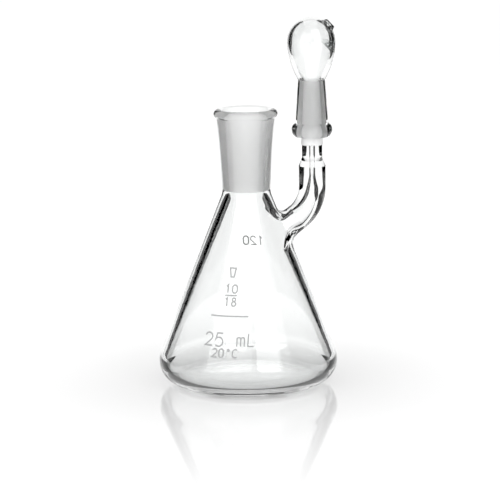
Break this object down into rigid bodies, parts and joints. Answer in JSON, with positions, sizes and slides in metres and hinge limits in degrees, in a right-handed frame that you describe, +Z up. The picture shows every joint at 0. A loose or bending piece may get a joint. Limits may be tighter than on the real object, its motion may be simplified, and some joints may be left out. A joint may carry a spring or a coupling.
{
  "type": "specific gravity flask",
  "caption": "Small conical glass flask with a ground tapered neck and a bent capillary side arm, closed by a lift-off hollow cap.",
  "frame": {"origin": "centre of the base on its resting plane", "axes": "+Z up through the neck, +X towards the side arm, -Y the side that carries the marks"},
  "size_m": [0.0428, 0.0428, 0.0876],
  "materials": {
    "clear_glass": "clear fire-polished borosilicate",
    "ground_glass": "borosilicate, ground on its tapered surfaces and clear elsewhere",
    "enamel": "fired pale grey enamel"
  },
  "bodies": {
    "flask": {"conical_body": "clear_glass", "neck_socket": "ground_glass", "side_arm": "clear_glass", "capillary_cone": "ground_glass", "capacity_mark": "enamel", "temperature_mark": "enamel", "joint_size_mark": "enamel", "taper_mark": "enamel", "rule_mark": "enamel", "set_number_mark": "enamel"},
    "cap": {"cap_socket": "ground_glass", "cap_bulb": "clear_glass"}
  },
  "joints": [
    {"name": "cap_lift", "type": "slide", "parent": "flask", "child": "cap", "axis": [0, 0, 1], "range_m": [0, 0.02]}
  ]
}
